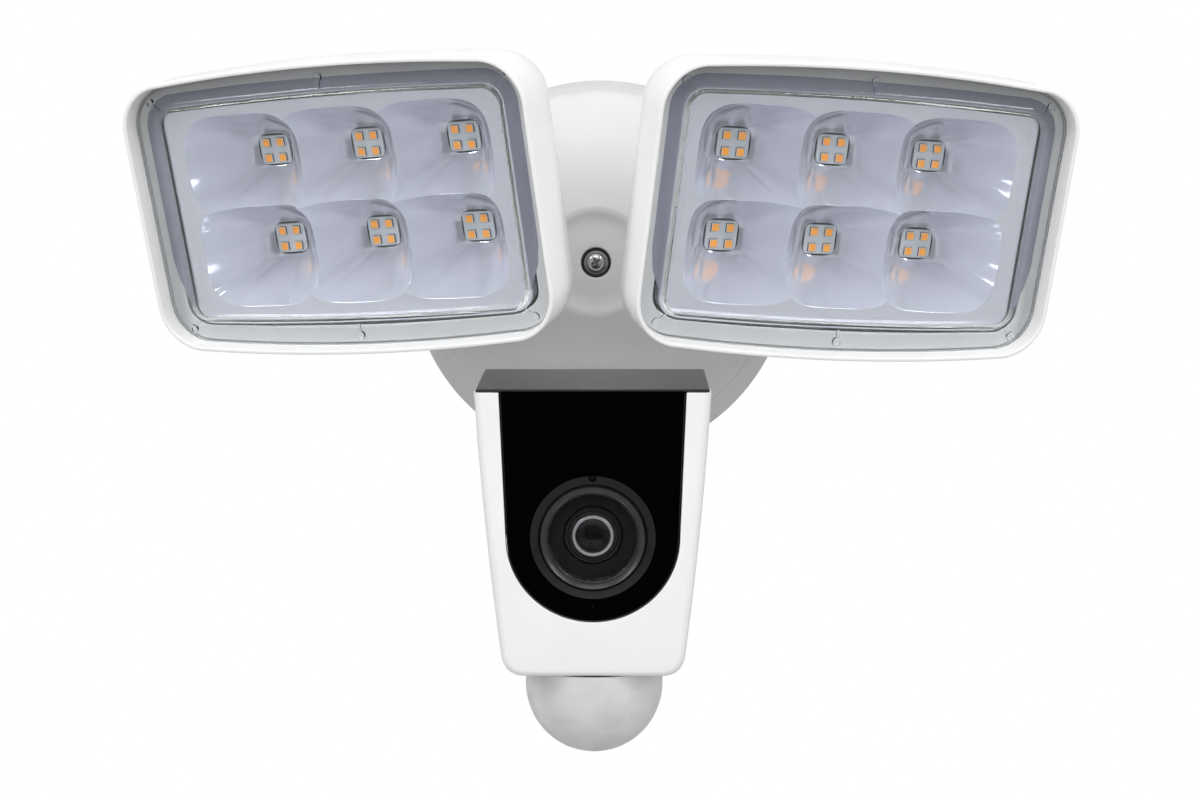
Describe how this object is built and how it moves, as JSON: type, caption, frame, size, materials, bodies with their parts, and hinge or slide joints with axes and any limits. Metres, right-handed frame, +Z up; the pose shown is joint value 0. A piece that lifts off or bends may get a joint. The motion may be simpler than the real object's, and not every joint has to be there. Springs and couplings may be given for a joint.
{
  "type": "floodlight security camera",
  "caption": "Wall-mounted outdoor security camera with a round canopy, adjustable LED floodlight heads on hinged arms, a tilting camera body and a motion sensor dome.",
  "frame": {"origin": "centre of the mounting plate's back face, on the wall", "axes": "+X to the viewer's right, +Y into the wall, +Z up; the light faces -Y"},
  "size_m": [0.2865, 0.137, 0.2186],
  "materials": {
    "white_shell": "fine matt texture",
    "canopy_grey": "fine matt texture",
    "rubber": "matt",
    "silicone": "matt",
    "clear_cover": "clear polycarbonate",
    "reflector": "satin silver",
    "led_board": "white solder mask",
    "circuit": "green solder mask",
    "aluminium": "cast",
    "steel": "plated",
    "gloss_black": "piano black",
    "top_grey": "dark gloss",
    "matte_black": "matt",
    "lens_glass": "coated glass",
    "sensor_dome": "milky, translucent"
  },
  "bodies": {
    "canopy": {"mounting_plate": "steel", "wall_gasket": "rubber", "canopy_base": "canopy_grey", "seam_gasket": "rubber", "canopy_front": "canopy_grey", "center_screw": "steel", "screw_washer": "steel", "power_board": "circuit", "terminal_block": "matte_black", "left_stem": "white_shell", "left_stem_nut": "steel", "right_stem": "white_shell", "right_stem_nut": "steel", "camera_stem": "white_shell", "camera_stem_nut": "steel"},
    "left_arm": {"left_arm": "white_shell", "left_pan_bolt": "steel"},
    "left_head": {"left_bracket": "white_shell", "left_tilt_bolt": "steel", "left_housing": "white_shell", "left_heat_plate": "aluminium", "left_led_board": "led_board", "left_reflector": "reflector", "left_gasket": "silicone", "left_lens": "clear_cover"},
    "right_arm": {"right_arm": "white_shell", "right_pan_bolt": "steel"},
    "right_head": {"right_bracket": "white_shell", "right_tilt_bolt": "steel", "right_housing": "white_shell", "right_heat_plate": "aluminium", "right_led_board": "led_board", "right_reflector": "reflector", "right_gasket": "silicone", "right_lens": "clear_cover"},
    "camera_arm": {"camera_arm": "white_shell", "camera_pan_bolt": "steel"},
    "camera": {"camera_bracket": "white_shell", "camera_tilt_bolt": "steel", "camera_shell": "white_shell", "camera_face_panel": "gloss_black", "camera_top_cover": "top_grey", "camera_back_cover": "white_shell", "lens_bezel": "gloss_black", "lens_window": "lens_glass", "lens_barrel": "matte_black", "lens_element": "lens_glass", "image_sensor_board": "circuit", "infrared_led_board": "circuit", "main_board": "circuit", "speaker": "matte_black", "motion_sensor_dome": "sensor_dome", "motion_sensor": "steel"},
    "reset_button": {"reset_button": "matte_black"}
  },
  "joints": [
    {"name": "left_pan", "type": "hinge", "parent": "canopy", "child": "left_arm", "pos_m": [-0.0556, -0.04015, 0.0262], "axis": [0, 0, 1], "range_deg": [-35, 1.5]},
    {"name": "left_tilt", "type": "hinge", "parent": "left_arm", "child": "left_head", "pos_m": [-0.05983, -0.0609, 0.0262], "axis": [0.9464, -0.3229, 0], "range_deg": [-30, 7]},
    {"name": "right_pan", "type": "hinge", "parent": "canopy", "child": "right_arm", "pos_m": [0.0556, -0.04015, 0.0237], "axis": [0, 0, 1], "range_deg": [-1.5, 35]},
    {"name": "right_tilt", "type": "hinge", "parent": "right_arm", "child": "right_head", "pos_m": [0.0649, -0.05917, 0.0237], "axis": [0.947, 0.3211, 0], "range_deg": [-30, 7]},
    {"name": "camera_pan", "type": "hinge", "parent": "canopy", "child": "camera_arm", "pos_m": [0, -0.045, -0.0503], "axis": [0, 0, 1], "range_deg": [-35, 35]},
    {"name": "camera_tilt", "type": "hinge", "parent": "camera_arm", "child": "camera", "pos_m": [0.00007, -0.0482, -0.0615], "axis": [0.9997, 0.0227, 0], "range_deg": [-5, 30]},
    {"name": "reset_press", "type": "slide", "parent": "camera", "child": "reset_button", "axis": [0.0224, -0.9874, -0.1564], "range_m": [0, 0.0012], "stiffness_N_per_m": 800}
  ]
}
